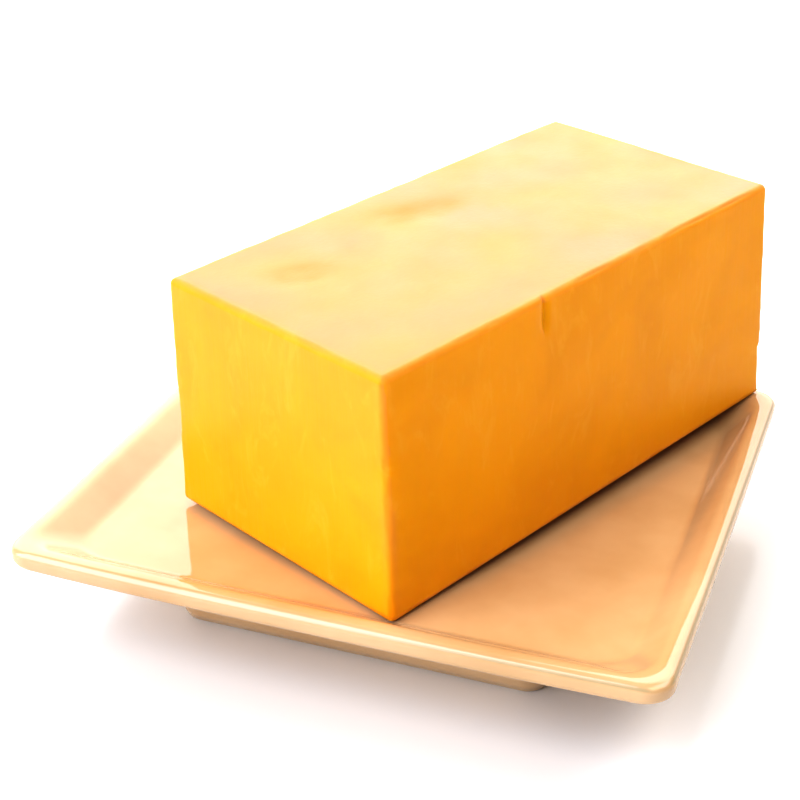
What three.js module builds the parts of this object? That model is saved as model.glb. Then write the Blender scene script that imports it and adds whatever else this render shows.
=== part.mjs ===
// A block of mild cheese resting askew on a glazed serving plate with a flared foot.
// Millimetres, +Z up. X runs along the plate's length and Y along its width.
import * as THREE from "three";

// Plate: outline and rim.
const PLATE_LENGTH = 178;
const PLATE_WIDTH = 156;
const PLATE_CORNER_RADIUS = 7;
const RIM_HEIGHT = 5.9;
const RIM_ROUNDING = 2.2;
const RIM_LAND = 1;
const CORNER_LIFT = 1.1; // how far each corner sweeps up above the middle of a side

// Plate: the dish falls over a short shoulder, then gently to its centre.
const SHOULDER_RUN = 11;
const SHOULDER_DROP = 5.6;
const SHOULDER_EASE = 0.25; // share of the run that is rounded at each end
const BOWL_DROP = 1.8;
const FLOOR_THICKNESS = 5;
const INNER_CORNER_GROWTH = 0.3; // how much rounder the corners get, per mm of inset

// Plate: foot.
const FOOT_LENGTH = 104;
const FOOT_WIDTH = 104;
const FOOT_HEIGHT = 17;
const FOOT_LAND = 5;
const FOOT_FLARE = 0.41; // outward lean of its outer wall, per mm of height
const FOOT_INNER_FLARE = 0.3;
const FOOT_ROUNDING = 0.8;
const FOOT_CORNER_RADIUS = 6;
const WALL_THICKNESS = 4; // under the foot of the shoulder
const UNDERSIDE_FALL = 1.2; // from there in to the root of the foot

// Cheese: a cut block, a little wider at its base than at its top.
const CHEESE_LENGTH = 154;
const CHEESE_WIDTH = 80.6;
const CHEESE_HEIGHT = 68.7;
const CHEESE_SPREAD = 2.1; // how far each side leans out at the base
const CHEESE_EDGE_RADIUS = 1.5;
const CHEESE_CORNER_RADIUS = 2.3;

// Where the cheese lies: its near corner, and the turn of its length from +X.
const NEAR_CORNER_X = 16.8;
const NEAR_CORNER_INSET = 10.5;
const CHEESE_TURN = THREE.MathUtils.degToRad(65);
const RESTING_CLEARANCE = 0.35;

// Fineness of the faceted solids.
const CORNER_STEPS = 6;
const SIDE_STEPS = 8;
const ARC_STEPS = 4;
const SHOULDER_STEPS = 9;
const BOWL_STEPS = 8;
const SEAT_SAMPLE = 2;
const SEARCH_STEPS = 60;
const STEEPEST_REST = 0.4;

const HALF_LENGTH = PLATE_LENGTH / 2;
const HALF_WIDTH = PLATE_WIDTH / 2;
const RIM_INNER = RIM_ROUNDING + RIM_LAND;
const BOWL_EDGE = RIM_INNER + SHOULDER_RUN;
const RIM_TOP = FOOT_HEIGHT + FLOOR_THICKNESS + BOWL_DROP + SHOULDER_DROP;
const RIM_BOTTOM = RIM_TOP - RIM_HEIGHT;
const UNDERSIDE = RIM_TOP - SHOULDER_DROP - WALL_THICKNESS;
const FOOT_ROOT = UNDERSIDE - UNDERSIDE_FALL;
const BASE_LENGTH = CHEESE_LENGTH + 2 * CHEESE_SPREAD;
const BASE_WIDTH = CHEESE_WIDTH + 2 * CHEESE_SPREAD;

const clamp01 = (value) => Math.min(1, Math.max(0, value));

// 0 to 1 over the shoulder: straight in the middle, rounded at both ends.
function shoulderFall(share) {
  const u = clamp01(share);
  const curve = 2 * SHOULDER_EASE * (1 - SHOULDER_EASE);
  if (u < SHOULDER_EASE) return (u * u) / curve;
  if (u > 1 - SHOULDER_EASE) return 1 - ((1 - u) * (1 - u)) / curve;
  return (u - SHOULDER_EASE / 2) / (1 - SHOULDER_EASE);
}

// Height of the dish at an inset from the plate's edge, without the lift at the corners.
function dishHeight(inset) {
  const shoulder = shoulderFall((inset - RIM_INNER) / SHOULDER_RUN);
  const t = clamp01((inset - BOWL_EDGE) / (HALF_WIDTH - BOWL_EDGE));
  const bowl = t * t * (3 - 2 * t);
  return RIM_TOP - SHOULDER_DROP * shoulder - BOWL_DROP * bowl;
}

// Extra height towards the four corners.
function cornerLift(x, y) {
  const along = Math.abs(x) / HALF_LENGTH;
  const across = Math.abs(y) / HALF_WIDTH;
  return CORNER_LIFT * (along * across) ** 3;
}

// One ring of a piece: a rounded rectangle at a height, lifted by a share at the corners.
function ring(halfX, halfY, radius, z, lift = 0) {
  return { halfX, halfY, radius: Math.min(radius, halfX, halfY), z, lift };
}

// A ring of the plate, inset from its outline.
function plateRing(inset, z) {
  const radius = PLATE_CORNER_RADIUS + INNER_CORNER_GROWTH * inset;
  return ring(HALF_LENGTH - inset, HALF_WIDTH - inset, radius, z, 1);
}

// The ring's points, counter-clockwise from above, with as many on every ring.
function ringPoints({ halfX, halfY, radius, z, lift }) {
  const points = [];
  const signs = [[1, 1], [-1, 1], [-1, -1], [1, -1]];
  signs.forEach(([signX, signY], corner) => {
    for (let step = 0; step <= CORNER_STEPS; step += 1) {
      const angle = (Math.PI / 2) * (corner + step / CORNER_STEPS);
      const x = signX * (halfX - radius) + radius * Math.cos(angle);
      const y = signY * (halfY - radius) + radius * Math.sin(angle);
      points.push(new THREE.Vector3(x, y, z));
    }
    addSide(points, signs[(corner + 1) % signs.length], corner, { halfX, halfY, radius, z });
  });
  points.forEach((point) => {
    point.z += lift * cornerLift(point.x, point.y);
  });
  return points;
}

// The points between the end of one corner's arc and the start of the next.
function addSide(points, [signX, signY], corner, { halfX, halfY, radius, z }) {
  const start = points[points.length - 1];
  const angle = (Math.PI / 2) * (corner + 1);
  const endX = signX * (halfX - radius) + radius * Math.cos(angle);
  const endY = signY * (halfY - radius) + radius * Math.sin(angle);
  const end = new THREE.Vector3(endX, endY, z);
  for (let step = 1; step < SIDE_STEPS; step += 1) {
    points.push(start.clone().lerp(end, step / SIDE_STEPS));
  }
}

// A closed solid through rings that run from its top centre, over its side, to its bottom centre.
function loftRings(rings) {
  const loops = rings.map(ringPoints);
  const count = loops[0].length;
  const vertices = loops.flat();
  const topCentre = vertices.push(centreOf(loops[0])) - 1;
  const bottomCentre = vertices.push(centreOf(loops[loops.length - 1])) - 1;
  const faces = [];
  for (let j = 0; j < count; j += 1) {
    const k = (j + 1) % count;
    faces.push(topCentre, j, k);
    for (let i = 0; i + 1 < loops.length; i += 1) {
      const a = i * count;
      const b = a + count;
      faces.push(a + j, b + j, b + k);
      faces.push(a + j, b + k, a + k);
    }
    const last = (loops.length - 1) * count;
    faces.push(bottomCentre, last + k, last + j);
  }
  const geometry = new THREE.BufferGeometry().setFromPoints(vertices);
  geometry.setIndex(faces);
  geometry.computeVertexNormals();
  return geometry;
}

function centreOf(points) {
  const sum = points.reduce((total, point) => total.add(point), new THREE.Vector3());
  return sum.divideScalar(points.length);
}

// The dish from near its centre out to the rim's land.
function dishRings() {
  const innermost = HALF_WIDTH - PLATE_CORNER_RADIUS;
  const insets = [];
  for (let i = 0; i < BOWL_STEPS; i += 1) {
    insets.push(THREE.MathUtils.lerp(innermost, BOWL_EDGE, i / BOWL_STEPS));
  }
  for (let i = 0; i <= SHOULDER_STEPS; i += 1) {
    insets.push(THREE.MathUtils.lerp(BOWL_EDGE, RIM_INNER, i / SHOULDER_STEPS));
  }
  return insets.map((inset) => plateRing(inset, dishHeight(inset)));
}

// The rim's outer face: a quarter round at the top and another at the bottom.
function rimRings() {
  const rings = [];
  for (let i = 0; i <= ARC_STEPS; i += 1) {
    const angle = (Math.PI / 2) * (i / ARC_STEPS);
    const inset = RIM_ROUNDING * (1 - Math.sin(angle));
    rings.push(plateRing(inset, RIM_TOP - RIM_ROUNDING * (1 - Math.cos(angle))));
  }
  for (let i = ARC_STEPS; i >= 0; i -= 1) {
    const angle = (Math.PI / 2) * (i / ARC_STEPS);
    const inset = RIM_ROUNDING * (1 - Math.sin(angle));
    rings.push(plateRing(inset, RIM_BOTTOM + RIM_ROUNDING * (1 - Math.cos(angle))));
  }
  return rings;
}

// A ring of the foot's outer wall, which leans out as it rises.
function footOuterRing(z, inset = 0) {
  const grow = FOOT_FLARE * z - inset;
  return ring(FOOT_LENGTH / 2 + grow, FOOT_WIDTH / 2 + grow, FOOT_CORNER_RADIUS + grow, z);
}

// A ring of the foot's inner wall.
function footInnerRing(z) {
  const grow = FOOT_INNER_FLARE * z - FOOT_LAND;
  return ring(FOOT_LENGTH / 2 + grow, FOOT_WIDTH / 2 + grow, FOOT_CORNER_RADIUS + grow, z);
}

// The underside, then the foot: down its wall, round its land, up to the recess under the floor.
function undersideRings() {
  return [
    plateRing(BOWL_EDGE, UNDERSIDE),
    footOuterRing(FOOT_ROOT),
    footOuterRing(FOOT_ROUNDING),
    footOuterRing(0, FOOT_ROUNDING),
    footInnerRing(0),
    footInnerRing(FOOT_HEIGHT),
  ];
}

function makePlate() {
  const geometry = loftRings([...dishRings(), ...rimRings(), ...undersideRings()]);
  const glaze = new THREE.MeshStandardMaterial({ color: 0xf6ead6, roughness: 0.12, metalness: 0 });
  const mesh = new THREE.Mesh(geometry, glaze);
  mesh.name = "plate";
  return mesh;
}

// A ring of the cheese at a height, with its sides drawn in by an inset.
function cheeseRing(z, inset) {
  const lean = CHEESE_SPREAD * (1 - z / CHEESE_HEIGHT) - inset;
  const radius = CHEESE_CORNER_RADIUS - inset;
  return ring(CHEESE_LENGTH / 2 + lean, CHEESE_WIDTH / 2 + lean, radius, z);
}

function cheeseRings() {
  const rings = [];
  for (let i = 0; i <= ARC_STEPS; i += 1) {
    const angle = (Math.PI / 2) * (i / ARC_STEPS);
    const drop = CHEESE_EDGE_RADIUS * (1 - Math.cos(angle));
    rings.push(cheeseRing(CHEESE_HEIGHT - drop, CHEESE_EDGE_RADIUS * (1 - Math.sin(angle))));
  }
  for (let i = ARC_STEPS; i >= 0; i -= 1) {
    const angle = (Math.PI / 2) * (i / ARC_STEPS);
    const rise = CHEESE_EDGE_RADIUS * (1 - Math.cos(angle));
    rings.push(cheeseRing(rise, CHEESE_EDGE_RADIUS * (1 - Math.sin(angle))));
  }
  return rings;
}

// Whether a point lies inside the plate's outline at an inset.
function insidePlate(x, y, inset) {
  const { halfX, halfY, radius } = plateRing(inset, 0);
  const dx = Math.max(0, Math.abs(x) - (halfX - radius));
  const dy = Math.max(0, Math.abs(y) - (halfY - radius));
  return Math.hypot(dx, dy) <= radius;
}

// How far inside the plate's edge a point lies.
function insetAt(x, y) {
  let low = 0;
  let high = HALF_WIDTH;
  for (let i = 0; i < SEARCH_STEPS; i += 1) {
    const middle = (low + high) / 2;
    if (insidePlate(x, y, middle)) low = middle;
    else high = middle;
  }
  return low;
}

// The plate's upper surface at a point that lies over it.
function surfaceHeight(x, y) {
  const inset = insetAt(x, y);
  const round = Math.max(0, RIM_ROUNDING - inset);
  const rounding = RIM_ROUNDING - Math.sqrt(RIM_ROUNDING ** 2 - round ** 2);
  return dishHeight(inset) - rounding + cornerLift(x, y);
}

// The middle of the cheese's base, in plan.
function baseCentre() {
  const corner = new THREE.Vector2(NEAR_CORNER_X, NEAR_CORNER_INSET - HALF_WIDTH);
  const toMiddle = new THREE.Vector2(BASE_LENGTH / 2, BASE_WIDTH / 2);
  return corner.add(toMiddle.rotateAround(new THREE.Vector2(), CHEESE_TURN));
}

// Points of the plate under the flat of the cheese's base, measured from the base's middle.
function pointsUnderBase(centre) {
  const flatX = BASE_LENGTH / 2 - CHEESE_EDGE_RADIUS;
  const flatY = BASE_WIDTH / 2 - CHEESE_EDGE_RADIUS;
  const countX = Math.ceil((2 * flatX) / SEAT_SAMPLE);
  const countY = Math.ceil((2 * flatY) / SEAT_SAMPLE);
  const points = [];
  for (let i = 0; i <= countX; i += 1) {
    for (let j = 0; j <= countY; j += 1) {
      const local = new THREE.Vector2(flatX * (2 * i / countX - 1), flatY * (2 * j / countY - 1));
      const offset = local.rotateAround(new THREE.Vector2(), CHEESE_TURN);
      const place = centre.clone().add(offset);
      if (!insidePlate(place.x, place.y, 0)) continue;
      points.push(new THREE.Vector3(offset.x, offset.y, surfaceHeight(place.x, place.y)));
    }
  }
  return points;
}

// The value between low and high at which a bowl-shaped function is least.
function lowestAt(cost, low, high) {
  let from = low;
  let to = high;
  for (let i = 0; i < SEARCH_STEPS; i += 1) {
    const third = (to - from) / 3;
    if (cost(from + third) < cost(to - third)) to -= third;
    else from += third;
  }
  return (from + to) / 2;
}

// The plane on which the base comes to rest: the lowest its middle can sink on those points.
function restingPlane(points) {
  const rise = (slopeX, slopeY) => points.reduce(
    (highest, p) => Math.max(highest, p.z - slopeX * p.x - slopeY * p.y), -Infinity);
  const bestY = (slopeX) => lowestAt(
    (slopeY) => rise(slopeX, slopeY), -STEEPEST_REST, STEEPEST_REST);
  const slopeX = lowestAt(
    (slope) => rise(slope, bestY(slope)), -STEEPEST_REST, STEEPEST_REST);
  const slopeY = bestY(slopeX);
  return { slopeX, slopeY, height: rise(slopeX, slopeY) };
}

function makeCheese() {
  const geometry = loftRings(cheeseRings());
  const paste = new THREE.MeshStandardMaterial({ color: 0xf7b733, roughness: 0.45, metalness: 0 });
  const mesh = new THREE.Mesh(geometry, paste);
  mesh.name = "cheese_block";
  const centre = baseCentre();
  const rest = restingPlane(pointsUnderBase(centre));
  const up = new THREE.Vector3(0, 0, 1);
  const normal = new THREE.Vector3(-rest.slopeX, -rest.slopeY, 1).normalize();
  const tilt = new THREE.Quaternion().setFromUnitVectors(up, normal);
  const turn = new THREE.Quaternion().setFromAxisAngle(up, CHEESE_TURN);
  mesh.quaternion.copy(tilt.multiply(turn));
  mesh.position.set(centre.x, centre.y, rest.height);
  mesh.position.addScaledVector(normal, RESTING_CLEARANCE);
  return mesh;
}

const part = new THREE.Group();
part.add(makePlate(), makeCheese());

// The origin is the middle of the whole part's footprint, on the surface it stands on.
part.updateMatrixWorld(true);
const extent = new THREE.Box3().setFromObject(part, true);
const middle = extent.getCenter(new THREE.Vector3());
part.position.set(-middle.x, -middle.y, -extent.min.z);

export default part;
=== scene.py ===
"""A block of orange cheddar on a cream glazed stoneware plate.

The block lies askew on the plate, under bright, soft table-top light.
"""

import logging
import math
from collections.abc import Callable, Iterable
from dataclasses import dataclass, field
from enum import Enum

import bmesh
import bpy
from mathutils import Matrix, Vector, noise


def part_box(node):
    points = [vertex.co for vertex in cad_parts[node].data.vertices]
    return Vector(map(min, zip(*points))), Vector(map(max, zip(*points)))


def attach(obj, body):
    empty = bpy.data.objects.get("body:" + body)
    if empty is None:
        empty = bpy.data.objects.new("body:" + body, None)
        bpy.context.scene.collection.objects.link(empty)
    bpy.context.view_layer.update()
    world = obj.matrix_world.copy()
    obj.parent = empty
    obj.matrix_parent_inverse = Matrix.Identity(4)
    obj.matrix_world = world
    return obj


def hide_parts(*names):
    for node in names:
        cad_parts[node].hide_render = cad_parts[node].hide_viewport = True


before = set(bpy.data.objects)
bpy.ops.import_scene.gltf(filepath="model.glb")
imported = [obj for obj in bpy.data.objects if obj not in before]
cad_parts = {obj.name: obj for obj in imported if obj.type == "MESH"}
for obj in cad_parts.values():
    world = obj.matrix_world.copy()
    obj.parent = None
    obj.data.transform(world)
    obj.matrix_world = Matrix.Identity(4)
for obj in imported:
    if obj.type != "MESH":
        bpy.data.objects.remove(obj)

LOG = logging.getLogger("cheese_on_plate")
MM = 0.001
BODY = "root"
# The contrast of the shot: below 1 it deepens shadows and colours.
PRINT_GAMMA = 0.77
# Where the unit cube's faces lie, with room for rounding.
CUBE_FACE = 0.499
# How nearly two directions agree, as the cosine between them.
FACES_UP = 0.9
FACES_SIDEWAYS = 0.2
FACES_ALIKE = 0.95
SENSOR_MM = 36.0
CAMERA_CLIP = (0.01, 20.0)


def mm(value: float) -> float:
    """Millimetres as metres."""
    return value * MM


def smoothstep(value: float) -> float:
    """Holds a value to 0..1 and eases it at both ends.

    Args:
        value: Any number.

    Returns:
        The eased value.
    """
    t = min(1.0, max(0.0, value))
    return t * t * (3.0 - 2.0 * t)


def linear(hex_colour: str, alpha: float = 1.0) -> tuple[float, float, float, float]:
    """Turns an sRGB hex colour into the linear colour that shaders use.

    Args:
        hex_colour: Six hex digits with a leading hash.
        alpha: Opacity of the result.

    Returns:
        Red, green and blue in linear light, and alpha.
    """
    parts = [int(hex_colour[i : i + 2], 16) / 255.0 for i in (1, 3, 5)]
    red, green, blue = (
        part / 12.92 if part <= 0.04045 else ((part + 0.055) / 1.055) ** 2.4
        for part in parts
    )
    return red, green, blue, alpha


def add_node(
    tree: bpy.types.NodeTree,
    kind: str,
    settings: dict[str, object] | None = None,
    inputs: dict[str | int, object] | None = None,
) -> bpy.types.Node:
    """Adds one node, sets it up and links it.

    Args:
        tree: The node tree that gets the node.
        kind: The node's type name.
        settings: Attribute names and values.
        inputs: Socket names or numbers, with a plain value or the output socket to link.

    Returns:
        The new node.
    """
    node = tree.nodes.new(kind)
    for name, value in (settings or {}).items():
        setattr(node, name, value)
    for key, value in (inputs or {}).items():
        if isinstance(value, bpy.types.NodeSocket):
            tree.links.new(value, node.inputs[key])
        else:
            node.inputs[key].default_value = value
    return node


def set_ramp(node: bpy.types.Node, stops: list[tuple[float, str]]) -> None:
    """Sets a colour ramp's stops.

    Args:
        node: The ramp node.
        stops: Positions and hex colours, in order.
    """
    ramp = node.color_ramp
    while len(ramp.elements) < len(stops):
        ramp.elements.new(0.5)
    for element, (position, colour) in zip(ramp.elements, stops):
        element.position = position
        element.color = linear(colour)


def link_object(mesh: bmesh.types.BMesh, name: str) -> bpy.types.Object:
    """Turns a bmesh into a smooth-shaded object at the origin.

    Args:
        mesh: The finished bmesh, which is freed.
        name: The object's name.

    Returns:
        The object, linked to the scene.
    """
    data = bpy.data.meshes.new(name)
    mesh.to_mesh(data)
    mesh.free()
    data.shade_smooth()
    made = bpy.data.objects.new(name, data)
    bpy.context.scene.collection.objects.link(made)
    return made


def store_attribute(
    piece: bpy.types.Object, name: str, value_at: Callable[[Vector], float]
) -> None:
    """Writes a value for each vertex of a piece, for its material to read.

    Args:
        piece: The object whose mesh gets the attribute.
        name: The attribute's name.
        value_at: Gives the value at a vertex's place.
    """
    attribute = piece.data.attributes.new(name, "FLOAT", "POINT")
    for vertex in piece.data.vertices:
        attribute.data[vertex.index].value = value_at(vertex.co)


@dataclass(frozen=True)
class BlockPose:
    """Where the block lies: its own axes and the middle of its base."""

    origin: Vector
    along: Vector
    across: Vector
    up: Vector

    @classmethod
    def of_node(cls, node: bpy.types.Object) -> "BlockPose":
        """Reads the block's axes from the faces of its CAD solid.

        Args:
            node: The block's CAD object.

        Returns:
            The pose of the block.
        """
        sums: dict[str, Vector] = {key: Vector() for key in ("up", "across")}
        vertical = Vector((0, 0, 1))
        faces = [(face.normal.copy(), face.area) for face in node.data.polygons]
        for normal, area in faces:
            if normal.dot(vertical) > FACES_UP:
                sums["up"] += normal * area
        up = sums["up"].normalized()
        sides = [(n, a) for n, a in faces if abs(n.dot(up)) < FACES_SIDEWAYS]
        broad = max(sides, key=lambda item: item[1])[0]
        for normal, area in sides:
            if abs(normal.dot(broad)) > FACES_ALIKE:
                sums["across"] += normal * area * (1 if normal.dot(broad) > 0 else -1)
        across = (sums["across"] - up * sums["across"].dot(up)).normalized()
        if across.x > 0:
            across.negate()
        along = across.cross(up).normalized()
        points = [vertex.co for vertex in node.data.vertices]
        middle = Vector()
        for axis in (along, across):
            reach = [point.dot(axis) for point in points]
            middle += axis * (max(reach) + min(reach)) / 2
        base = min(point.dot(up) for point in points)
        return cls(middle + up * base, along, across, up)

    def matrix(self) -> Matrix:
        """The change from the block's own frame to the row frame."""
        turn = Matrix((self.along, self.across, self.up)).transposed().to_4x4()
        return Matrix.Translation(self.origin) @ turn


@dataclass(frozen=True)
class Hollow:
    """A shallow oval dent in the top face.

    Its place is from the block's middle. Lengths are in millimetres and its turn in degrees.
    """

    along: float
    across: float
    long_radius: float
    short_radius: float
    depth: float
    turn: float

    def reach(self, point: Vector) -> float:
        """How far out a place lies: 0 at the dent's middle and 1 at its rim.

        Args:
            point: The place in the block's own frame.

        Returns:
            The distance as a share of the dent's radius.
        """
        angle = math.radians(self.turn)
        x, y = point.x - self.along, point.y - self.across
        u = (x * math.cos(angle) + y * math.sin(angle)) / self.long_radius
        v = (y * math.cos(angle) - x * math.sin(angle)) / self.short_radius
        return math.hypot(u, v)


@dataclass(frozen=True)
class CheddarFinish:
    """Annatto-coloured cheddar, made in a press and wire cut.

    A dense, slightly oily paste with pale curd in it: a soft sheen and faint vertical lines.
    """

    name: str = "cheddar_pressed_wire_cut"
    deep: str = "#F0A300"
    paste: str = "#F7AA00"
    curd: str = "#FFC140"
    # Painted highlight: the paler colour of the lit top, the cut ends and the vertical edges.
    painted_highlight: str = "#E8966F"
    # Painted shade: the deeper colour in the dents of the top.
    dent_shade: str = "#E28B40"
    # Painted shade: the dark colour of the underside.
    underside_shade: str = "#9A5510"
    oil: str = "#FFA81E"
    roughness: float = 0.36
    mottle_mm: float = 26.0
    curd_mm: float = 9.0
    drag_mm: float = 1.6
    grain_mm: float = 0.55
    patch_mm: float = 14.0
    curd_stretch: float = 0.45
    drag_stretch: float = 0.05
    drag_strength: float = 0.3
    drag_depth_mm: float = 0.2
    grain_strength: float = 0.25
    grain_depth_mm: float = 0.06
    ior: float = 1.41
    scatter: float = 0.22
    scatter_mm: float = 2.2

    def build(self, pose: BlockPose) -> bpy.types.Material:
        """Makes the material.

        Args:
            pose: The block's pose, so that patterns follow its own axes.

        Returns:
            The material.
        """
        material = bpy.data.materials.new(self.name)
        material.use_nodes = True
        tree = material.node_tree
        tree.nodes.clear()
        place = add_node(tree, "ShaderNodeTexCoord")
        turn = pose.matrix().inverted()
        # The block's own axes, in metres, with the origin in the middle of its base.
        local = add_node(
            tree,
            "ShaderNodeMapping",
            {"vector_type": "POINT"},
            {
                "Vector": place.outputs["Object"],
                "Location": turn.to_translation(),
                "Rotation": turn.to_euler(),
            },
        ).outputs["Vector"]
        colour = self._colour(tree, local)
        shine = self._roughness(tree, local)
        bump = self._bump(tree, local)
        shader = add_node(
            tree,
            "ShaderNodeBsdfPrincipled",
            {"subsurface_method": "RANDOM_WALK"},
            {
                "Base Color": colour,
                "Roughness": shine,
                "Normal": bump,
                "IOR": self.ior,
                "Specular Tint": linear(self.oil),
                "Subsurface Weight": self.scatter,
                "Subsurface Radius": (1.0, 0.42, 0.08),
                "Subsurface Scale": mm(self.scatter_mm),
            },
        )
        add_node(
            tree,
            "ShaderNodeOutputMaterial",
            inputs={"Surface": shader.outputs["BSDF"]},
        )
        return material

    def _colour(
        self, tree: bpy.types.NodeTree, local: bpy.types.NodeSocket
    ) -> bpy.types.NodeSocket:
        """Mottled paste with pale curd, then painted highlight on the top, painted shade in its
        dents and painted shade on the underside.

        Args:
            tree: The material's nodes.
            local: The block's own coordinates.

        Returns:
            The colour.
        """
        mottle = add_node(
            tree,
            "ShaderNodeTexNoise",
            inputs={
                "Vector": local,
                "Scale": 1.0 / mm(self.mottle_mm),
                "Detail": 3.0,
                "Roughness": 0.5,
                "Distortion": 0.6,
            },
        )
        base = add_node(
            tree, "ShaderNodeValToRGB", inputs={"Fac": mottle.outputs["Fac"]}
        )
        set_ramp(base, [(0.32, self.deep), (0.62, self.paste)])
        stretch = add_node(
            tree,
            "ShaderNodeMapping",
            inputs={"Vector": local, "Scale": (1.0, 1.0, self.curd_stretch)},
        )
        curds = add_node(
            tree,
            "ShaderNodeTexNoise",
            inputs={
                "Vector": stretch.outputs["Vector"],
                "Scale": 1.0 / mm(self.curd_mm),
                "Detail": 4.0,
                "Roughness": 0.62,
                "Distortion": 1.4,
            },
        )
        curd_mask = add_node(
            tree,
            "ShaderNodeMapRange",
            {"interpolation_type": "SMOOTHSTEP"},
            {"Value": curds.outputs["Fac"], "From Min": 0.52, "From Max": 0.74, "To Max": 0.3},
        )
        with_curd = add_node(
            tree,
            "ShaderNodeMix",
            {"data_type": "RGBA"},
            {
                "Factor": curd_mask.outputs["Result"],
                6: base.outputs["Color"],
                7: linear(self.curd),
            },
        )
        colour = with_curd.outputs[2]
        # Painted highlight on the top, then painted shade in its dents and on the underside.
        for name, tone in (("painted_highlight", self.painted_highlight), ("dent_shade", self.dent_shade), ("underside_shade", self.underside_shade)):
            mask = add_node(tree, "ShaderNodeAttribute", {"attribute_name": name})
            colour = add_node(
                tree,
                "ShaderNodeMix",
                {"data_type": "RGBA"},
                {"Factor": mask.outputs["Fac"], 6: colour, 7: linear(tone)},
            ).outputs[2]
        return colour

    def _roughness(
        self, tree: bpy.types.NodeTree, local: bpy.types.NodeSocket
    ) -> bpy.types.NodeSocket:
        """Oily in places and drier in others.

        Args:
            tree: The material's nodes.
            local: The block's own coordinates.

        Returns:
            The roughness.
        """
        patch = add_node(
            tree,
            "ShaderNodeTexNoise",
            inputs={"Vector": local, "Scale": 1.0 / mm(self.patch_mm), "Detail": 3.0},
        )
        return add_node(
            tree,
            "ShaderNodeMapRange",
            inputs={
                "Value": patch.outputs["Fac"],
                "From Min": 0.3,
                "From Max": 0.7,
                "To Min": self.roughness - 0.05,
                "To Max": self.roughness + 0.09,
            },
        ).outputs["Result"]

    def _bump(
        self, tree: bpy.types.NodeTree, local: bpy.types.NodeSocket
    ) -> bpy.types.NodeSocket:
        """The cutting wire's drag lines down the sides, over a fine closed grain.

        Args:
            tree: The material's nodes.
            local: The block's own coordinates.

        Returns:
            The normal.
        """
        drag_space = add_node(
            tree,
            "ShaderNodeMapping",
            inputs={"Vector": local, "Scale": (1.0, 1.0, self.drag_stretch)},
        )
        drag = add_node(
            tree,
            "ShaderNodeTexNoise",
            inputs={
                "Vector": drag_space.outputs["Vector"],
                "Scale": 1.0 / mm(self.drag_mm),
                "Detail": 2.0,
                "Roughness": 0.6,
            },
        )
        grain = add_node(
            tree,
            "ShaderNodeTexNoise",
            inputs={
                "Vector": local,
                "Scale": 1.0 / mm(self.grain_mm),
                "Detail": 3.0,
                "Roughness": 0.6,
            },
        )
        lines = add_node(
            tree,
            "ShaderNodeBump",
            inputs={
                "Height": drag.outputs["Fac"],
                "Strength": self.drag_strength,
                "Distance": mm(self.drag_depth_mm),
            },
        )
        return add_node(
            tree,
            "ShaderNodeBump",
            inputs={
                "Height": grain.outputs["Fac"],
                "Strength": self.grain_strength,
                "Distance": mm(self.grain_depth_mm),
                "Normal": lines.outputs["Normal"],
            },
        ).outputs["Normal"]


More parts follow.
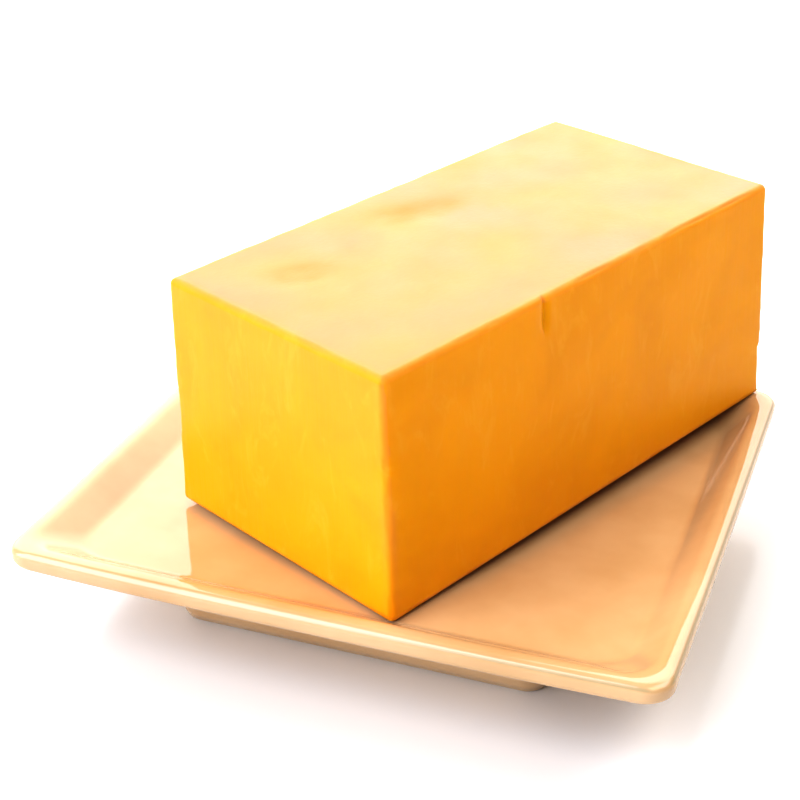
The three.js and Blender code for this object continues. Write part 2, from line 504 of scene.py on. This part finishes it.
@dataclass
class CheeseBlock:
    """The cut block: soft, wavering edges and the marks of cutting. Millimetres."""

    length: float = 154.0
    width: float = 80.6
    height: float = 68.7
    spread: float = 2.1
    edge_radius: float = 1.7
    edge_cells: int = 4
    cell: float = 1.5
    wander: float = 0.22
    wander_span: float = 38.0
    ripple: float = 0.06
    ripple_span: float = 7.0
    edge_wander: float = 0.8
    edge_span: float = 11.0
    hollows: tuple[Hollow, ...] = (
        Hollow(-3.0, 22.5, 15.0, 6.5, 0.7, -20.0),
        Hollow(-52.0, 16.5, 10.0, 6.0, 0.5, -25.0),
    )
    nick_along: float = -20.1
    nick_foot: float = 57.5
    nick_width: float = 0.4
    nick_depth: float = 0.8
    nick_reach: float = 4.0
    nick_fade: float = 3.0
    lip_share: float = 0.3
    lip_place: float = 2.4
    step_height: float = 16.8
    step_depth: float = 0.8
    step_run: float = 7.0
    step_blend: float = 1.6
    chip_height: float = 44.0
    chip_radius: float = 2.6
    chip_depth: float = 0.7
    # Painted highlight: a faint pale line down the vertical edges.
    edge_highlight_reach: float = 1.6
    edge_highlight_span: float = 9.0
    # Painted highlight: the top paler in from its edges, and the cut ends paler towards the top.
    highlight_end: float = 0.24
    highlight_edge_start: float = 0.24
    highlight_reach: float = 4.0
    highlight_span: float = 22.0
    # How patchy the painted shade in the dents is.
    dent_shade_span: float = 6.0
    finish: CheddarFinish = field(default_factory=CheddarFinish)

    def mesh(self, pose: BlockPose) -> bpy.types.Object:
        """Builds the block where its CAD solid lies.

        Args:
            pose: Where the block lies.

        Returns:
            The block.
        """
        made = bmesh.new()
        bmesh.ops.create_cube(made, size=1.0)
        for axis, size in enumerate((self.length, self.width, self.height)):
            self._divide(made, axis, size)
        for vertex in made.verts:
            vertex.co = self._shape(vertex.co)
        bmesh.ops.recalc_face_normals(made, faces=made.faces)
        bmesh.ops.transform(
            made, matrix=pose.matrix() @ Matrix.Scale(MM, 4), verts=made.verts
        )
        return link_object(made, "cheddar_block")

    def _divide(self, made: bmesh.types.BMesh, axis: int, size: float) -> None:
        """Cuts the unit cube into cells along one axis.

        Args:
            made: The cube.
            axis: The axis, 0 to 2.
            size: The block's size along it.
        """
        edges = [
            edge
            for edge in made.edges
            if abs((edge.verts[1].co - edge.verts[0].co)[axis]) > 0.5
        ]
        cuts = round(size / self.cell) + 2 * self.edge_cells
        bmesh.ops.subdivide_edges(made, edges=edges, cuts=cuts - 1, use_grid_fill=False)

    def _spaced(self, share: float, size: float) -> float:
        """Where a cell line lies: close together over the rounded edges and even between them.

        Args:
            share: The line's place on the unit cube, from -0.5 to 0.5.
            size: The block's size along the axis.

        Returns:
            The distance from the middle.
        """
        cells = round(size / self.cell) + 2 * self.edge_cells
        line = (0.5 - abs(share)) * cells
        edge = self.edge_radius * 1.2
        if line <= self.edge_cells:
            inset = edge * line / self.edge_cells
        else:
            span = (size / 2 - edge) / (cells / 2 - self.edge_cells)
            inset = edge + span * (line - self.edge_cells)
        return math.copysign(size / 2 - inset, share)

    def _shape(self, unit: Vector) -> Vector:
        """Moves a point of the unit cube to the block's surface.

        Args:
            unit: A point on the unit cube.

        Returns:
            The point in the block's own frame, in millimetres from the middle of its base.
        """
        sizes = (self.length, self.width, self.height)
        point = Vector([self._spaced(unit[i], sizes[i]) for i in range(3)])
        # Lines crowd together at the nick, so that it is cut cleanly.
        off = point.x - self.nick_along
        if abs(off) < self.nick_reach:
            point.x = self.nick_along + off * abs(off) / self.nick_reach
        radius = self.edge_radius
        core = Vector(
            [
                math.copysign(min(abs(point[i]), sizes[i] / 2 - radius), point[i])
                for i in range(3)
            ]
        )
        out = point - core
        if out.length > 0:
            out = out.normalized()
            point = core + out * radius
        lean = 0.5 - point.z / self.height
        point.x += math.copysign(self.spread * lean, point.x) * min(1, abs(2 * unit.x))
        point.y += math.copysign(self.spread * lean, point.y) * min(1, abs(2 * unit.y))
        point.z += self.height / 2
        return point + self._handled(point, unit, out)

    def _handled(self, point: Vector, unit: Vector, out: Vector) -> Vector:
        """The unevenness of a real cut block at a point of its surface.

        Args:
            point: The point in the block's own frame.
            unit: Where it is on the unit cube.
            out: The way out of the surface.

        Returns:
            How far the point moves.
        """
        if unit.z <= -CUBE_FACE:
            return Vector()
        slow = noise.noise(point / self.wander_span) * self.wander
        quick = noise.noise(point / self.ripple_span) * self.ripple
        # The arrises waver most: this is 1 on the middle of a rounding and 0 on the flats.
        arris = 4.0 * (out.x**2 * out.y**2 + out.y**2 * out.z**2 + out.z**2 * out.x**2)
        waver = abs(noise.noise(point / self.edge_span)) * self.edge_wander * min(1.0, arris)
        move = out * (slow + quick - self.wander * 0.4 - waver)
        if unit.z >= CUBE_FACE:
            for hollow in self.hollows:
                move.z -= hollow.depth * math.exp(-(hollow.reach(point) ** 2))
        return move + self._marks(point)

    def _marks(self, point: Vector) -> Vector:
        """The single marks: a nick from the wire, a step in one corner and a chip on another.

        Args:
            point: The point in the block's own frame.

        Returns:
            How far the point moves.
        """
        move = Vector()
        if point.y > 0:
            return move
        face = smoothstep((point.y + self.width / 2 - self.nick_fade) / -self.nick_fade)
        off = abs(point.x - self.nick_along) / self.nick_width
        length = smoothstep((point.z - self.nick_foot) / self.nick_fade)
        lip = self.lip_share * math.exp(-((off - self.lip_place) ** 2))
        move.y += self.nick_depth * face * length * (math.exp(-off * off) - lip)
        far = smoothstep((point.x - self.length / 2 + self.step_run) / self.step_run)
        blend = self.step_blend
        below = 1.0 - smoothstep((point.z - self.step_height + blend / 2) / blend)
        move.x -= self.step_depth * far * below
        chip = Vector((-self.length / 2, -self.width / 2, self.chip_height))
        near = math.exp(-((point - chip).length_squared / self.chip_radius**2))
        return move + Vector((1.0, 1.0, 0.0)).normalized() * self.chip_depth * near

    def _painted_highlight(self, pose: BlockPose) -> Callable[[Vector], float]:
        """The painted highlight: the top paler, the cut ends paler towards the top, and a faint
        pale line down the vertical edges.

        Args:
            pose: Where the block lies.

        Returns:
            The mask, from a place in the row frame.
        """
        back = pose.matrix().inverted()

        def at(place: Vector) -> float:
            """The mask at one place.

            Args:
                place: The place in the row frame.

            Returns:
                The mask, from 0 to 1.
            """
            point = back @ place / MM
            inset_x = self.length / 2 - abs(point.x)
            inset_y = self.width / 2 - abs(point.y)
            if point.z < self.height - self.edge_radius:
                # Painted highlight on the sides: a faint pale line down the vertical edges, and
                # the cut ends paler towards the top.
                edge_mask = math.exp(-(max(inset_x, inset_y, 0.0) / self.edge_highlight_reach) ** 2)
                end = self.highlight_end * point.z / self.height if inset_x < 1.0 else 0.0
                return end + 0.1 * edge_mask * (0.7 + noise.noise(point / self.edge_highlight_span))
            # Painted highlight on the top: paler in from its edges.
            patch = 0.86 + 0.25 * noise.noise(point / self.highlight_span)
            inset = min(inset_x, inset_y)
            return smoothstep(self.highlight_edge_start + inset / self.highlight_reach) * min(1.0, patch)

        return at

    def _painted_dent_shade(self, pose: BlockPose) -> Callable[[Vector], float]:
        """The painted shade: a deeper colour in the dents of the top.

        Args:
            pose: Where the block lies.

        Returns:
            The mask, from a place in the row frame.
        """
        back = pose.matrix().inverted()

        def at(place: Vector) -> float:
            """The mask at one place.

            Args:
                place: The place in the row frame.

            Returns:
                The mask, from 0 to 1.
            """
            point = back @ place / MM
            if point.z < self.height - self.edge_radius:
                return 0.0
            # Painted shade in the dents, broken up by noise.
            dent = sum(math.exp(-(h.reach(point) ** 4)) for h in self.hollows)
            return min(1.0, dent) * (0.6 + 0.5 * noise.noise(point / self.dent_shade_span))

        return at

    def _painted_underside_shade(self, pose: BlockPose) -> Callable[[Vector], float]:
        """The painted shade: dark all over the underside.

        Args:
            pose: Where the block lies.

        Returns:
            The mask, from a place in the row frame.
        """
        back = pose.matrix().inverted()

        def at(place: Vector) -> float:
            """The mask at one place."""
            height = (back @ place / MM).z
            # Painted shade on the base, gone about half a millimetre up.
            return 1.0 - smoothstep(height / (0.3 * self.edge_radius))

        return at

    def dress(self, piece: bpy.types.Object, pose: BlockPose) -> None:
        """Gives the block its finish and stands it in for its CAD solid.

        Args:
            piece: The block.
            pose: Where it lies.
        """
        # Painted highlight, painted shade in the dents and painted shade on the underside, for
        # the material to read.
        store_attribute(piece, "painted_highlight", self._painted_highlight(pose))
        store_attribute(piece, "dent_shade", self._painted_dent_shade(pose))
        store_attribute(piece, "underside_shade", self._painted_underside_shade(pose))
        piece.data.materials.append(self.finish.build(pose))
        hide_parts("cheese_block")
        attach(piece, BODY)


@dataclass(frozen=True)
class GlazeFinish:
    """Stoneware dipped in a cream gloss glaze.

    Glassy and slightly uneven, bare on the foot; a darker line on the rim's outer edge is partly
    glaze run thinner and partly painted shade of the rounding.
    """

    name: str = "stoneware_cream_glaze_dipped"
    glaze: str = "#D6B388"
    pooled: str = "#CCA678"
    # The darker line on the rim's outer edge: glaze run thinner, and painted shade of the
    # rounding.
    thinned_glaze_and_shade: str = "#A59C7D"
    clay: str = "#C9B08A"
    roughness: float = 0.06
    clay_roughness: float = 0.8
    ior: float = 1.66
    wave_mm: float = 14.0
    cloud_mm: float = 30.0
    wave_strength: float = 0.35
    wave_depth_mm: float = 0.12

    def build(self) -> bpy.types.Material:
        """Makes the material.

        Returns:
            The material.
        """
        material = bpy.data.materials.new(self.name)
        material.use_nodes = True
        tree = material.node_tree
        tree.nodes.clear()
        place = add_node(tree, "ShaderNodeTexCoord").outputs["Object"]
        cloud = add_node(
            tree,
            "ShaderNodeTexNoise",
            inputs={"Vector": place, "Scale": 1.0 / mm(self.cloud_mm), "Detail": 4.0},
        )
        body = add_node(
            tree, "ShaderNodeValToRGB", inputs={"Fac": cloud.outputs["Fac"]}
        )
        set_ramp(body, [(0.35, self.pooled), (0.65, self.glaze)])
        # Glaze run thinner on the rim's outer edge, with painted shade of its rounding.
        edge_mask = add_node(tree, "ShaderNodeAttribute", {"attribute_name": "rim_edge_glaze_and_shade"})
        edge = add_node(
            tree,
            "ShaderNodeMix",
            {"data_type": "RGBA"},
            {
                "Factor": edge_mask.outputs["Fac"],
                6: body.outputs["Color"],
                7: linear(self.thinned_glaze_and_shade),
            },
        )
        bare = add_node(tree, "ShaderNodeAttribute", {"attribute_name": "bare_clay"})
        colour = add_node(
            tree,
            "ShaderNodeMix",
            {"data_type": "RGBA"},
            {
                "Factor": bare.outputs["Fac"],
                6: edge.outputs[2],
                7: linear(self.clay),
            },
        )
        shine = add_node(
            tree,
            "ShaderNodeMapRange",
            inputs={
                "Value": bare.outputs["Fac"],
                "To Min": self.roughness,
                "To Max": self.clay_roughness,
            },
        )
        wave = add_node(
            tree,
            "ShaderNodeTexNoise",
            inputs={"Vector": place, "Scale": 1.0 / mm(self.wave_mm), "Detail": 1.0},
        )
        peel = add_node(
            tree,
            "ShaderNodeBump",
            inputs={
                "Height": wave.outputs["Fac"],
                "Strength": self.wave_strength,
                "Distance": mm(self.wave_depth_mm),
            },
        )
        shader = add_node(
            tree,
            "ShaderNodeBsdfPrincipled",
            inputs={
                "Base Color": colour.outputs[2],
                "Roughness": shine.outputs["Result"],
                "Normal": peel.outputs["Normal"],
                "IOR": self.ior,
            },
        )
        add_node(
            tree,
            "ShaderNodeOutputMaterial",
            inputs={"Surface": shader.outputs["BSDF"]},
        )
        return material


@dataclass(frozen=True)
class Ring:
    """One round of the plate's surface: a rounded rectangle at a height. Millimetres."""

    half_length: float
    half_width: float
    radius: float
    height: float
    lift: float


@dataclass
class GlazedPlate:
    """The plate: rolled rim, short shoulder, gentle dish and flared foot ring. Millimetres."""

    length: float = 178.0
    width: float = 156.0
    corner_radius: float = 7.0
    corner_growth: float = 0.3
    rim_height: float = 5.9
    rim_rounding: float = 2.2
    rim_land: float = 1.0
    corner_lift: float = 1.1
    shoulder_run: float = 11.0
    shoulder_drop: float = 5.6
    shoulder_ease: float = 0.25
    bowl_drop: float = 1.8
    floor_thickness: float = 5.0
    wall_thickness: float = 4.0
    underside_fall: float = 1.2
    foot_length: float = 104.0
    foot_width: float = 104.0
    foot_height: float = 17.0
    foot_land: float = 5.0
    foot_flare: float = 0.41
    foot_inner_flare: float = 0.3
    foot_rounding: float = 0.8
    foot_corner_radius: float = 6.0
    corner_steps: int = 14
    side_steps: int = 44
    bowl_steps: int = 18
    shoulder_steps: int = 26
    arc_steps: int = 9
    wall_steps: int = 8
    finish: GlazeFinish = field(default_factory=GlazeFinish)

    @property
    def rim_top(self) -> float:
        """Height of the rim's flat top at the middle of a side."""
        return self.foot_height + self.floor_thickness + self.bowl_drop + self.shoulder_drop

    @property
    def rim_inner(self) -> float:
        """Inset at which the shoulder starts."""
        return self.rim_rounding + self.rim_land

    @property
    def bowl_edge(self) -> float:
        """Inset at which the shoulder ends."""
        return self.rim_inner + self.shoulder_run

    def _dish_height(self, inset: float) -> float:
        """Height of the upper surface, without the corners' lift.

        Args:
            inset: Distance in from the plate's outline.

        Returns:
            The height above the table.
        """
        u = min(1.0, max(0.0, (inset - self.rim_inner) / self.shoulder_run))
        ease = self.shoulder_ease
        curve = 2 * ease * (1 - ease)
        if u < ease:
            fall = u * u / curve
        elif u > 1 - ease:
            fall = 1 - (1 - u) ** 2 / curve
        else:
            fall = (u - ease / 2) / (1 - ease)
        bowl = smoothstep(
            (inset - self.bowl_edge) / (self.width / 2 - self.bowl_edge)
        )
        return self.rim_top - self.shoulder_drop * fall - self.bowl_drop * bowl

    def _plate_ring(self, inset: float, height: float) -> Ring:
        """A ring that follows the plate's outline.

        Args:
            inset: Distance in from the outline.
            height: Height above the table.

        Returns:
            The ring.
        """
        half_length = self.length / 2 - inset
        half_width = self.width / 2 - inset
        radius = self.corner_radius + self.corner_growth * inset
        return Ring(half_length, half_width, min(radius, half_width), height, 1.0)

    def _foot_ring(self, grow: float, height: float) -> Ring:
        """A ring that follows the foot's outline.

        Args:
            grow: Distance out from the foot's outline on the table.
            height: Height above the table.

        Returns:
            The ring.
        """
        return Ring(
            self.foot_length / 2 + grow,
            self.foot_width / 2 + grow,
            self.foot_corner_radius + grow,
            height,
            0.0,
        )

    def _rings(self) -> list[Ring]:
        """Lists the rings, from the middle of the dish over the rim and into the foot.

        Returns:
            The rings in order.
        """
        rings: list[Ring] = []
        innermost = self.width / 2 - self.corner_radius
        for i in range(self.bowl_steps):
            inset = innermost + (self.bowl_edge - innermost) * i / self.bowl_steps
            rings.append(self._plate_ring(inset, self._dish_height(inset)))
        for i in range(self.shoulder_steps + 1):
            inset = self.bowl_edge - self.shoulder_run * i / self.shoulder_steps
            rings.append(self._plate_ring(inset, self._dish_height(inset)))
        bottom = self.rim_top - self.rim_height
        arc = [math.pi / 2 * i / self.arc_steps for i in range(self.arc_steps + 1)]
        for angle in arc:
            inset = self.rim_rounding * (1 - math.sin(angle))
            drop = self.rim_rounding * (1 - math.cos(angle))
            rings.append(self._plate_ring(inset, self.rim_top - drop))
        for angle in reversed(arc):
            inset = self.rim_rounding * (1 - math.sin(angle))
            rise = self.rim_rounding * (1 - math.cos(angle))
            rings.append(self._plate_ring(inset, bottom + rise))
        underside = self.rim_top - self.shoulder_drop - self.wall_thickness
        root = underside - self.underside_fall
        start = self.rim_rounding
        for share in (0.25, 0.5, 0.75, 1.0):
            inset = start + (self.bowl_edge - start) * share
            rings.append(self._plate_ring(inset, bottom + (underside - bottom) * share))
        for i in range(self.wall_steps + 1):
            height = root + (self.foot_rounding - root) * i / self.wall_steps
            rings.append(self._foot_ring(self.foot_flare * height, height))
        for angle in arc[1:]:
            inset = self.foot_rounding * (1 - math.cos(angle))
            height = self.foot_rounding * (1 - math.sin(angle))
            rings.append(self._foot_ring(-inset, height))
        rings.append(self._foot_ring(-self.foot_land, 0.0))
        for i in range(1, self.wall_steps + 1):
            height = self.foot_height * i / self.wall_steps
            grow = self.foot_inner_flare * height - self.foot_land
            rings.append(self._foot_ring(grow, height))
        return rings

    def _lift(self, x: float, y: float) -> float:
        """How far the corners sweep up at a place.

        Args:
            x: Distance along the plate from its middle.
            y: Distance across it.

        Returns:
            The rise.
        """
        along = abs(x) / (self.length / 2)
        across = abs(y) / (self.width / 2)
        return self.corner_lift * (along * across) ** 3

    def _outline(self, ring: Ring) -> list[Vector]:
        """Spaces points round a ring, anticlockwise from above.

        Args:
            ring: The ring.

        Returns:
            The points, as many on every ring.
        """
        signs = ((1, 1), (-1, 1), (-1, -1), (1, -1))
        arcs: list[list[Vector]] = []
        for corner, (sx, sy) in enumerate(signs):
            arc = []
            for step in range(self.corner_steps + 1):
                angle = math.pi / 2 * (corner + step / self.corner_steps)
                x = sx * (ring.half_length - ring.radius) + ring.radius * math.cos(angle)
                y = sy * (ring.half_width - ring.radius) + ring.radius * math.sin(angle)
                arc.append(Vector((x, y, ring.height)))
            arcs.append(arc)
        points: list[Vector] = []
        for corner, arc in enumerate(arcs):
            points += arc
            start, end = arc[-1], arcs[(corner + 1) % 4][0]
            for step in range(1, self.side_steps):
                points.append(start.lerp(end, step / self.side_steps))
        for point in points:
            point.z += ring.lift * self._lift(point.x, point.y)
        return points

    def mesh(self, centre: Vector) -> bpy.types.Object:
        """Builds the plate by drawing one ring out into the next.

        Args:
            centre: The plate's middle in plan, at the height of its foot.

        Returns:
            The plate.
        """
        made = bmesh.new()
        rings = self._rings()
        count = 4 * (self.corner_steps + self.side_steps)
        bmesh.ops.create_circle(made, cap_ends=False, radius=1.0, segments=count)
        made.verts.ensure_lookup_table()
        current = self._ordered(made.verts)
        self._place(current, rings[0])
        bmesh.ops.contextual_create(made, geom=list(made.edges))
        for ring in rings[1:]:
            edges = self._loop_edges(current)
            grown = bmesh.ops.extrude_edge_only(made, edges=edges)["geom"]
            fresh = {v for v in grown if isinstance(v, bmesh.types.BMVert)}
            current = [self._partner(vertex, fresh) for vertex in current]
            self._place(current, ring)
        bmesh.ops.contextual_create(made, geom=self._loop_edges(current))
        bmesh.ops.recalc_face_normals(made, faces=made.faces)
        bmesh.ops.transform(
            made,
            matrix=Matrix.Translation(centre) @ Matrix.Scale(MM, 4),
            verts=made.verts,
        )
        return link_object(made, "glazed_plate")

    def _ordered(self, verts: Iterable[bmesh.types.BMVert]) -> list[bmesh.types.BMVert]:
        """The circle's vertices, anticlockwise from the +X side."""
        return sorted(verts, key=lambda v: math.atan2(v.co.y, v.co.x) % math.tau)

    def _place(self, verts: list[bmesh.types.BMVert], ring: Ring) -> None:
        """Moves a loop of vertices onto a ring."""
        for vertex, point in zip(verts, self._outline(ring)):
            vertex.co = point

    def _loop_edges(
        self, verts: list[bmesh.types.BMVert]
    ) -> list[bmesh.types.BMEdge]:
        """Finds the edges that join a loop's vertices in turn.

        Args:
            verts: The loop.

        Returns:
            The edges, shortest first.
        """
        following = verts[1:] + verts[:1]
        joined = {frozenset(pair) for pair in zip(verts, following)}
        found = {
            edge
            for vertex in verts
            for edge in vertex.link_edges
            if frozenset(edge.verts) in joined
        }
        return sorted(found, key=lambda edge: edge.calc_length())

    def _partner(
        self, vertex: bmesh.types.BMVert, fresh: set[bmesh.types.BMVert]
    ) -> bmesh.types.BMVert:
        """Finds the new vertex that an extruded one was drawn out to.

        Args:
            vertex: The vertex of the loop before.
            fresh: The new vertices.

        Returns:
            The new vertex.
        """
        return next(
            edge.other_vert(vertex)
            for edge in vertex.link_edges
            if edge.other_vert(vertex) in fresh
        )

    def _inset_at(self, x: float, y: float) -> float:
        """How far inside the outline a place lies, for places near a side."""
        return min(self.length / 2 - abs(x), self.width / 2 - abs(y))

    def dress(self, piece: bpy.types.Object, centre: Vector) -> None:
        """Gives the plate its glaze and stands it in for its CAD solid.

        Args:
            piece: The plate.
            centre: Its middle in plan, at the height of its foot.
        """

        def thinned_glaze_and_shade(place: Vector) -> float:
            """The darker line on the rim's outer edge: glaze run thinner, and painted shade of
            the rounding.

            Args:
                place: The place in the row frame.

            Returns:
                The mask, from 0 to 1.
            """
            point = (place - centre) / MM
            above = point.z - self._lift(point.x, point.y) - self.rim_top
            if above < -1.2:
                return 0.0
            # The line peaks just inside the outline: glaze run thinner there, and painted shade
            # of the rounding.
            offset = self._inset_at(point.x, point.y) - 0.4
            return 0.6 * math.exp(-((offset / 0.5) ** 2))

        def bare(place: Vector) -> float:
            """How bare the clay is: on the foot's standing face."""
            return smoothstep(1.0 - place.z / mm(0.7))

        store_attribute(piece, "rim_edge_glaze_and_shade", thinned_glaze_and_shade)
        store_attribute(piece, "bare_clay", bare)
        piece.data.materials.append(self.finish.build())
        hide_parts("plate")
        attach(piece, BODY)


@dataclass(frozen=True)
class TableFinish:
    """White lacquered board: even, pale and slightly glossy."""

    name: str = "table_white_lacquer"
    white: str = "#E2E3E6"
    roughness: float = 0.18
    ior: float = 1.45

    def build(self) -> bpy.types.Material:
        """Makes the material.

        Returns:
            The material.
        """
        material = bpy.data.materials.new(self.name)
        material.use_nodes = True
        tree = material.node_tree
        tree.nodes.clear()
        shader = add_node(
            tree,
            "ShaderNodeBsdfPrincipled",
            inputs={
                "Base Color": linear(self.white),
                "Roughness": self.roughness,
                "IOR": self.ior,
            },
        )
        add_node(
            tree,
            "ShaderNodeOutputMaterial",
            inputs={"Surface": shader.outputs["BSDF"]},
        )
        return material


class Glow(Enum):
    """Soft panels: azimuth and elevation, half-width and half-height, in degrees.

    Azimuth 0 is straight behind the block as the camera sees it, and it grows towards the left.
    """

    BEHIND = (0.0, 32.0, 52.0, 24.0)
    LEFT = (112.0, 36.0, 30.0, 26.0)
    RIGHT = (-130.0, 64.0, 34.0, 14.0)
    SIDE = (-78.0, 56.0, 24.0, 16.0)
    ABOVE = (0.0, 90.0, 180.0, 28.0)
    HORIZON = (0.0, 0.0, 180.0, 6.0)


@dataclass
class Studio:
    """White table, soft surrounding light and the camera."""

    table_half: float = 3.0
    ambient: float = 0.07
    panels: tuple[tuple[Glow, float, str], ...] = (
        (Glow.BEHIND, 3.6, "#FFFFFF"),
        (Glow.LEFT, 7.2, "#F2F6FF"),
        (Glow.RIGHT, 4.7, "#FFE8CC"),
        (Glow.SIDE, 3.8, "#F0F8FF"),
        (Glow.ABOVE, 0.05, "#FFFFFF"),
        (Glow.HORIZON, 1.3, "#FFFFFF"),
    )
    panel_edge: float = 8.0
    heading: float = 20.31
    pitch: float = 27.94
    roll: float = 0.44
    lens: float = 73.25
    camera_place: tuple[float, float, float] = (137.33, -391.55, 266.71)
    shift: tuple[float, float] = (-0.0190, -0.0152)
    finish: TableFinish = field(default_factory=TableFinish)

    def floor(self) -> bpy.types.Object:
        """Lays the table under the plate's foot.

        Returns:
            The table top.
        """
        made = bmesh.new()
        bmesh.ops.create_grid(made, x_segments=1, y_segments=1, size=self.table_half)
        top = link_object(made, "table_top")
        top.data.materials.append(self.finish.build())
        return top

    def light(self) -> None:
        """Surrounds the scene with soft light from panels of several strengths."""
        world = bpy.data.worlds.new("studio_white")
        bpy.context.scene.world = world
        world.use_nodes = True
        tree = world.node_tree
        tree.nodes.clear()
        ray = add_node(tree, "ShaderNodeTexCoord").outputs["Generated"]
        turned = add_node(
            tree,
            "ShaderNodeVectorRotate",
            {"rotation_type": "Z_AXIS"},
            {"Vector": ray, "Angle": -math.radians(self.heading)},
        )
        axes = add_node(
            tree, "ShaderNodeSeparateXYZ", inputs={0: turned.outputs["Vector"]}
        )
        elevation = add_node(
            tree, "ShaderNodeMath", {"operation": "ARCSINE"}, {0: axes.outputs["Z"]}
        ).outputs[0]
        left = add_node(
            tree,
            "ShaderNodeMath",
            {"operation": "MULTIPLY"},
            {0: axes.outputs["X"], 1: -1.0},
        )
        azimuth = add_node(
            tree,
            "ShaderNodeMath",
            {"operation": "ARCTAN2"},
            {0: left.outputs[0], 1: axes.outputs["Y"]},
        ).outputs[0]
        total: bpy.types.NodeSocket | tuple[float, float, float] = (self.ambient,) * 3
        for panel, strength, tint in self.panels:
            glow = self._glow(tree, azimuth, elevation, panel, strength)
            tinted = add_node(
                tree,
                "ShaderNodeVectorMath",
                {"operation": "SCALE"},
                {0: linear(tint)[:3], "Scale": glow},
            )
            total = add_node(
                tree,
                "ShaderNodeVectorMath",
                {"operation": "ADD"},
                {0: tinted.outputs[0], 1: total},
            ).outputs[0]
        path = add_node(tree, "ShaderNodeLightPath")
        seen = add_node(
            tree,
            "ShaderNodeMix",
            {"data_type": "RGBA"},
            {0: path.outputs["Is Camera Ray"], 6: total, 7: (1, 1, 1, 1)},
        )
        white = add_node(
            tree, "ShaderNodeBackground", inputs={"Color": seen.outputs[2]}
        )
        add_node(
            tree, "ShaderNodeOutputWorld", inputs={"Surface": white.outputs[0]}
        )

    def _glow(
        self,
        tree: bpy.types.NodeTree,
        azimuth: bpy.types.NodeSocket,
        elevation: bpy.types.NodeSocket,
        panel: Glow,
        strength: float,
    ) -> bpy.types.NodeSocket:
        """One soft-edged panel of light.

        Args:
            tree: The world's nodes.
            azimuth: Which way round the ray goes.
            elevation: How high it goes.
            panel: Where the panel is.
            strength: How bright it is.

        Returns:
            The brightness that it adds.
        """
        middle_az, middle_el, half_az, half_el = panel.value
        edge = self.panel_edge
        product: bpy.types.NodeSocket | None = None
        for angle, middle, half in (
            (azimuth, middle_az, half_az),
            (elevation, middle_el, half_el),
        ):
            # Distance from the panel's middle, which wraps round so that no panel is cut.
            off = add_node(
                tree,
                "ShaderNodeMath",
                {"operation": "SUBTRACT"},
                {0: angle, 1: math.radians(middle)},
            )
            wrapped = add_node(
                tree,
                "ShaderNodeMath",
                {"operation": "WRAP"},
                {0: off.outputs[0], 1: math.pi, 2: -math.pi},
            )
            size = add_node(
                tree, "ShaderNodeMath", {"operation": "ABSOLUTE"}, {0: wrapped.outputs[0]}
            )
            inside = add_node(
                tree,
                "ShaderNodeMapRange",
                {"interpolation_type": "SMOOTHSTEP"},
                {
                    "Value": size.outputs[0],
                    "From Min": math.radians(half + edge),
                    "From Max": math.radians(half - edge),
                    "To Max": strength if product is None else 1.0,
                },
            ).outputs["Result"]
            if product is None:
                product = inside
            else:
                product = add_node(
                    tree,
                    "ShaderNodeMath",
                    {"operation": "MULTIPLY"},
                    {0: product, 1: inside},
                ).outputs[0]
        return product

    def camera(self) -> bpy.types.Object:
        """Sets up the camera, looking down on the near corner of the plate.

        Returns:
            The camera.
        """
        data = bpy.data.cameras.new("camera")
        data.lens = self.lens
        data.sensor_width = SENSOR_MM
        data.shift_x, data.shift_y = self.shift
        data.clip_start, data.clip_end = CAMERA_CLIP
        made = bpy.data.objects.new("camera", data)
        bpy.context.scene.collection.objects.link(made)
        turn = (
            Matrix.Rotation(math.radians(self.heading), 4, "Z")
            @ Matrix.Rotation(math.radians(90.0 - self.pitch), 4, "X")
            @ Matrix.Rotation(-math.radians(self.roll), 4, "Z")
        )
        made.matrix_world = Matrix.Translation(Vector(self.camera_place) * MM) @ turn
        bpy.context.scene.camera = made
        return made


def main() -> None:
    """Builds the studio, then the plate and then the block."""
    logging.basicConfig(level=logging.INFO)
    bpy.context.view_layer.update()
    scene = bpy.context.scene
    scene.view_settings.view_transform = "Standard"
    scene.view_settings.gamma = PRINT_GAMMA
    studio = Studio()
    studio.camera()
    studio.light()
    studio.floor()

    low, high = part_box("plate")
    centre = Vector(((low.x + high.x) / 2, (low.y + high.y) / 2, low.z))
    plate = GlazedPlate()
    dish = plate.mesh(centre)
    plate.dress(dish, centre)
    LOG.info("%s: %d faces", dish.name, len(dish.data.polygons))

    pose = BlockPose.of_node(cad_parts["cheese_block"])
    block = CheeseBlock()
    cheese = block.mesh(pose)
    block.dress(cheese, pose)
    LOG.info("%s: %d faces", cheese.name, len(cheese.data.polygons))


if __name__ == "__main__":
    main()
